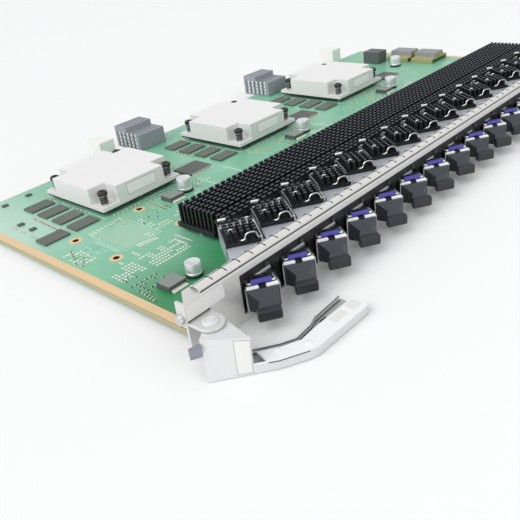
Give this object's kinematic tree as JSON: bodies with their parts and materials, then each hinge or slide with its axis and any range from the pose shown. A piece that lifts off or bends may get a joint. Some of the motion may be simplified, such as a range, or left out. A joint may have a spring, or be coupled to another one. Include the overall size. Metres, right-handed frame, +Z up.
{
  "type": "pon interface board",
  "caption": "Plug-in optical line card: green board behind a folded front panel with slanted optical ports, pin heat sinks, flat coolers and ejector levers.",
  "frame": {"origin": "middle of the front panel's lower front edge, on the plane of its underside", "axes": "+X along the panel, +Y from the panel to the backplane, +Z up from the board's component side"},
  "size_m": [0.4148, 0.2466, 0.0239],
  "materials": {
    "board": "green solder mask, satin",
    "panel_nickel": "satin plated sheet",
    "gasket_steel": "bright rolled spring steel",
    "bezel_black": "black moulded",
    "light_pipe": "clear moulded",
    "cage_steel": "tin plated sheet",
    "transceiver_nickel": "nickel plated",
    "plug_rubber": "charcoal moulded rubber",
    "black_anodised": "black anodised",
    "spring_steel": "bright wire",
    "cooler_aluminium": "bead blasted, pale",
    "screw_black": "black oxide",
    "nut_steel": "plated",
    "chip_black": "moulded package",
    "memory_grey": "moulded package",
    "pad_grey": "soft thermal pad",
    "can_aluminium": "bright can",
    "connector_grey": "dark grey moulded",
    "guide_cream": "cream moulded",
    "module_core": "converter board and core",
    "lever_nickel": "bright plated sheet"
  },
  "bodies": {
    "board": {"circuit_board": "board", "front_panel": "panel_nickel", "emi_gasket": "gasket_steel", "port_bezel": "bezel_black", "light_pipes": "light_pipe", "transceiver_cages": "cage_steel", "cage_heat_sinks": "black_anodised", "heat_sink_clips": "spring_steel", "long_heat_sink": "black_anodised", "sink_standoffs": "nut_steel", "coolers": "cooler_aluminium", "cooler_screws": "screw_black", "cooler_springs": "spring_steel", "cooler_nuts": "nut_steel", "processors": "chip_black", "thermal_pads": "pad_grey", "memory_chips": "memory_grey", "small_chips": "chip_black", "capacitors": "can_aluminium", "backplane_connectors": "connector_grey", "guide_sockets": "guide_cream", "power_modules": "module_core", "lever_rivets": "nut_steel", "panel_screws": "nut_steel"},
    "lever_left": {"ejector_lever_left": "lever_nickel"},
    "lever_right": {"ejector_lever_right": "lever_nickel"},
    "lock_left": {"lever_lock_left": "lever_nickel"},
    "lock_right": {"lever_lock_right": "lever_nickel"},
    "transceiver_01": {"transceiver_01": "transceiver_nickel"},
    "dust_plug_01": {"dust_plug_01": "plug_rubber"},
    "transceiver_02": {"transceiver_02": "transceiver_nickel"},
    "dust_plug_02": {"dust_plug_02": "plug_rubber"},
    "transceiver_03": {"transceiver_03": "transceiver_nickel"},
    "dust_plug_03": {"dust_plug_03": "plug_rubber"},
    "transceiver_04": {"transceiver_04": "transceiver_nickel"},
    "dust_plug_04": {"dust_plug_04": "plug_rubber"},
    "transceiver_05": {"transceiver_05": "transceiver_nickel"},
    "dust_plug_05": {"dust_plug_05": "plug_rubber"},
    "transceiver_06": {"transceiver_06": "transceiver_nickel"},
    "dust_plug_06": {"dust_plug_06": "plug_rubber"},
    "transceiver_07": {"transceiver_07": "transceiver_nickel"},
    "dust_plug_07": {"dust_plug_07": "plug_rubber"},
    "transceiver_08": {"transceiver_08": "transceiver_nickel"},
    "dust_plug_08": {"dust_plug_08": "plug_rubber"},
    "transceiver_09": {"transceiver_09": "transceiver_nickel"},
    "dust_plug_09": {"dust_plug_09": "plug_rubber"},
    "transceiver_10": {"transceiver_10": "transceiver_nickel"},
    "dust_plug_10": {"dust_plug_10": "plug_rubber"},
    "transceiver_11": {"transceiver_11": "transceiver_nickel"},
    "dust_plug_11": {"dust_plug_11": "plug_rubber"},
    "transceiver_12": {"transceiver_12": "transceiver_nickel"},
    "dust_plug_12": {"dust_plug_12": "plug_rubber"},
    "transceiver_13": {"transceiver_13": "transceiver_nickel"},
    "dust_plug_13": {"dust_plug_13": "plug_rubber"},
    "transceiver_14": {"transceiver_14": "transceiver_nickel"},
    "dust_plug_14": {"dust_plug_14": "plug_rubber"},
    "transceiver_15": {"transceiver_15": "transceiver_nickel"},
    "dust_plug_15": {"dust_plug_15": "plug_rubber"},
    "transceiver_16": {"transceiver_16": "transceiver_nickel"},
    "dust_plug_16": {"dust_plug_16": "plug_rubber"}
  },
  "joints": [
    {"name": "lever_left_swing", "type": "hinge", "parent": "board", "child": "lever_left", "pos_m": [-0.194, -0.0054, 0.013], "axis": [0, 0, 1], "range_deg": [-45, 0]},
    {"name": "lever_right_swing", "type": "hinge", "parent": "board", "child": "lever_right", "pos_m": [0.194, -0.0054, 0.013], "axis": [0, 0, 1], "range_deg": [0, 45]},
    {"name": "lock_left_press", "type": "hinge", "parent": "lever_left", "child": "lock_left", "pos_m": [-0.1896, -0.016, 0.0025], "axis": [0, 0, 1], "range_deg": [-4, 0], "stiffness_Nm_per_rad": 0.08},
    {"name": "lock_right_press", "type": "hinge", "parent": "lever_right", "child": "lock_right", "pos_m": [0.1896, -0.016, 0.0025], "axis": [0, 0, 1], "range_deg": [0, 4], "stiffness_Nm_per_rad": 0.08},
    {"name": "transceiver_01_slide", "type": "slide", "parent": "board", "child": "transceiver_01", "axis": [-0.5736, -0.8192, 0], "range_m": [0, 0.055]},
    {"name": "dust_plug_01_pull", "type": "slide", "parent": "transceiver_01", "child": "dust_plug_01", "axis": [-0.5736, -0.8192, 0], "range_m": [0, 0.012]},
    {"name": "transceiver_02_slide", "type": "slide", "parent": "board", "child": "transceiver_02", "axis": [-0.5736, -0.8192, 0], "range_m": [0, 0.055]},
    {"name": "dust_plug_02_pull", "type": "slide", "parent": "transceiver_02", "child": "dust_plug_02", "axis": [-0.5736, -0.8192, 0], "range_m": [0, 0.012]},
    {"name": "transceiver_03_slide", "type": "slide", "parent": "board", "child": "transceiver_03", "axis": [-0.5736, -0.8192, 0], "range_m": [0, 0.055]},
    {"name": "dust_plug_03_pull", "type": "slide", "parent": "transceiver_03", "child": "dust_plug_03", "axis": [-0.5736, -0.8192, 0], "range_m": [0, 0.012]},
    {"name": "transceiver_04_slide", "type": "slide", "parent": "board", "child": "transceiver_04", "axis": [-0.5736, -0.8192, 0], "range_m": [0, 0.055]},
    {"name": "dust_plug_04_pull", "type": "slide", "parent": "transceiver_04", "child": "dust_plug_04", "axis": [-0.5736, -0.8192, 0], "range_m": [0, 0.012]},
    {"name": "transceiver_05_slide", "type": "slide", "parent": "board", "child": "transceiver_05", "axis": [-0.5736, -0.8192, 0], "range_m": [0, 0.055]},
    {"name": "dust_plug_05_pull", "type": "slide", "parent": "transceiver_05", "child": "dust_plug_05", "axis": [-0.5736, -0.8192, 0], "range_m": [0, 0.012]},
    {"name": "transceiver_06_slide", "type": "slide", "parent": "board", "child": "transceiver_06", "axis": [-0.5736, -0.8192, 0], "range_m": [0, 0.055]},
    {"name": "dust_plug_06_pull", "type": "slide", "parent": "transceiver_06", "child": "dust_plug_06", "axis": [-0.5736, -0.8192, 0], "range_m": [0, 0.012]},
    {"name": "transceiver_07_slide", "type": "slide", "parent": "board", "child": "transceiver_07", "axis": [-0.5736, -0.8192, 0], "range_m": [0, 0.055]},
    {"name": "dust_plug_07_pull", "type": "slide", "parent": "transceiver_07", "child": "dust_plug_07", "axis": [-0.5736, -0.8192, 0], "range_m": [0, 0.012]},
    {"name": "transceiver_08_slide", "type": "slide", "parent": "board", "child": "transceiver_08", "axis": [-0.5736, -0.8192, 0], "range_m": [0, 0.055]},
    {"name": "dust_plug_08_pull", "type": "slide", "parent": "transceiver_08", "child": "dust_plug_08", "axis": [-0.5736, -0.8192, 0], "range_m": [0, 0.012]},
    {"name": "transceiver_09_slide", "type": "slide", "parent": "board", "child": "transceiver_09", "axis": [-0.5736, -0.8192, 0], "range_m": [0, 0.055]},
    {"name": "dust_plug_09_pull", "type": "slide", "parent": "transceiver_09", "child": "dust_plug_09", "axis": [-0.5736, -0.8192, 0], "range_m": [0, 0.012]},
    {"name": "transceiver_10_slide", "type": "slide", "parent": "board", "child": "transceiver_10", "axis": [-0.5736, -0.8192, 0], "range_m": [0, 0.055]},
    {"name": "dust_plug_10_pull", "type": "slide", "parent": "transceiver_10", "child": "dust_plug_10", "axis": [-0.5736, -0.8192, 0], "range_m": [0, 0.012]},
    {"name": "transceiver_11_slide", "type": "slide", "parent": "board", "child": "transceiver_11", "axis": [-0.5736, -0.8192, 0], "range_m": [0, 0.055]},
    {"name": "dust_plug_11_pull", "type": "slide", "parent": "transceiver_11", "child": "dust_plug_11", "axis": [-0.5736, -0.8192, 0], "range_m": [0, 0.012]},
    {"name": "transceiver_12_slide", "type": "slide", "parent": "board", "child": "transceiver_12", "axis": [-0.5736, -0.8192, 0], "range_m": [0, 0.055]},
    {"name": "dust_plug_12_pull", "type": "slide", "parent": "transceiver_12", "child": "dust_plug_12", "axis": [-0.5736, -0.8192, 0], "range_m": [0, 0.012]},
    {"name": "transceiver_13_slide", "type": "slide", "parent": "board", "child": "transceiver_13", "axis": [-0.5736, -0.8192, 0], "range_m": [0, 0.055]},
    {"name": "dust_plug_13_pull", "type": "slide", "parent": "transceiver_13", "child": "dust_plug_13", "axis": [-0.5736, -0.8192, 0], "range_m": [0, 0.012]},
    {"name": "transceiver_14_slide", "type": "slide", "parent": "board", "child": "transceiver_14", "axis": [-0.5736, -0.8192, 0], "range_m": [0, 0.055]},
    {"name": "dust_plug_14_pull", "type": "slide", "parent": "transceiver_14", "child": "dust_plug_14", "axis": [-0.5736, -0.8192, 0], "range_m": [0, 0.012]},
    {"name": "transceiver_15_slide", "type": "slide", "parent": "board", "child": "transceiver_15", "axis": [-0.5736, -0.8192, 0], "range_m": [0, 0.055]},
    {"name": "dust_plug_15_pull", "type": "slide", "parent": "transceiver_15", "child": "dust_plug_15", "axis": [-0.5736, -0.8192, 0], "range_m": [0, 0.012]},
    {"name": "transceiver_16_slide", "type": "slide", "parent": "board", "child": "transceiver_16", "axis": [-0.5736, -0.8192, 0], "range_m": [0, 0.055]},
    {"name": "dust_plug_16_pull", "type": "slide", "parent": "transceiver_16", "child": "dust_plug_16", "axis": [-0.5736, -0.8192, 0], "range_m": [0, 0.012]}
  ]
}
